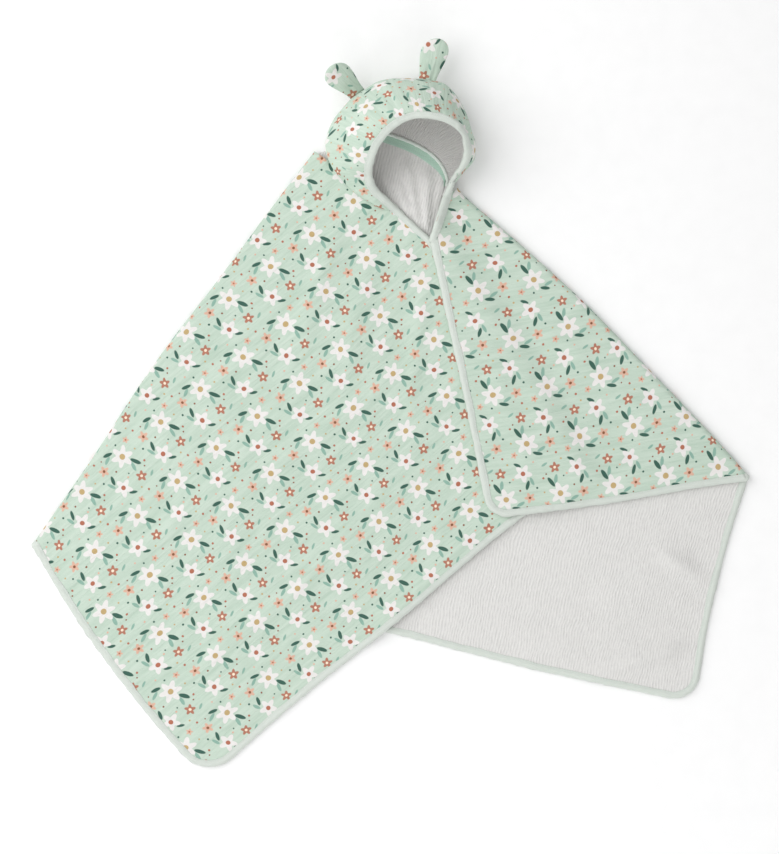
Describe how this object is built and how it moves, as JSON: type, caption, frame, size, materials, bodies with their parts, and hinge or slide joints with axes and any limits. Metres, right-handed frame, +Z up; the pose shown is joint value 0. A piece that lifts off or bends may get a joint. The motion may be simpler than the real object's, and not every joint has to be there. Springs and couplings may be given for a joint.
{
  "type": "hooded baby towel",
  "caption": "Rectangular towel of printed muslin and terry with bound edges, folded round like a cape, with a rounded hood that has ears.",
  "frame": {"origin": "bottom centre of the bounding box, on the surface that the towel lies on", "axes": "+Z up from that surface, +Y from the hem towards the top of the hood, +X to the towel's right as seen from above"},
  "size_m": [0.9015, 0.9192, 0.1027],
  "materials": {
    "printed_muslin": "matt crinkled cotton muslin with a small nursery print",
    "terry_lining": "soft ribbed cotton terry",
    "binding": "matt cotton tape, stitched",
    "neck_tape": "matt cotton tape",
    "filling": "loose polyester wadding",
    "label": "blank satin label"
  },
  "bodies": {
    "root": {"binding_back": "binding", "binding_left_neck": "binding", "binding_right_neck": "binding", "care_label": "label", "hood_side_lining": "terry_lining", "hood_side_outer": "printed_muslin", "lining_back": "terry_lining", "lining_left_shoulder": "terry_lining", "lining_right_shoulder": "terry_lining", "neck_seam_tape": "neck_tape", "outer_back": "printed_muslin", "outer_left_shoulder": "printed_muslin", "outer_right_shoulder": "printed_muslin"},
    "left_flap": {"binding_left_flap": "binding", "lining_left_flap": "terry_lining", "outer_left_flap": "printed_muslin"},
    "right_flap": {"binding_right_flap": "binding", "lining_right_flap": "terry_lining", "outer_right_flap": "printed_muslin"},
    "hood": {"hood_brim_binding": "binding", "hood_lining": "terry_lining", "hood_outer": "printed_muslin"},
    "left_ear": {"left_ear_back": "printed_muslin", "left_ear_filling": "filling", "left_ear_front": "printed_muslin"},
    "right_ear": {"right_ear_back": "printed_muslin", "right_ear_filling": "filling", "right_ear_front": "printed_muslin"}
  },
  "joints": [
    {"name": "right_flap_open", "type": "hinge", "parent": "root", "child": "right_flap", "pos_m": [0.049, 0.205, 0.0154], "axis": [-0.7956, 0.6058, 0], "range_deg": [0, 165]},
    {"name": "left_flap_open", "type": "hinge", "parent": "root", "child": "left_flap", "pos_m": [0.049, 0.205, 0.01], "axis": [-0.7884, -0.6152, 0], "range_deg": [0, 41.25]},
    {"name": "hood_fold", "type": "hinge", "parent": "root", "child": "hood", "pos_m": [-0.002, 0.287, 0.004], "axis": [0.9415, -0.3371, 0], "range_deg": [0, 45]},
    {"name": "left_ear_bend", "type": "hinge", "parent": "hood", "child": "left_ear", "pos_m": [-0.04584, 0.39109, 0.02854], "axis": [0.7071, 0.7071, 0], "range_deg": [-25, 50]},
    {"name": "right_ear_bend", "type": "hinge", "parent": "hood", "child": "right_ear", "pos_m": [0.04573, 0.40597, 0.03599], "axis": [0.9785, -0.2062, 0], "range_deg": [-25, 60]}
  ],
  "couplings": [
    {"joint": "left_flap_open", "follows": "right_flap_open", "ratio": 0.25}
  ]
}
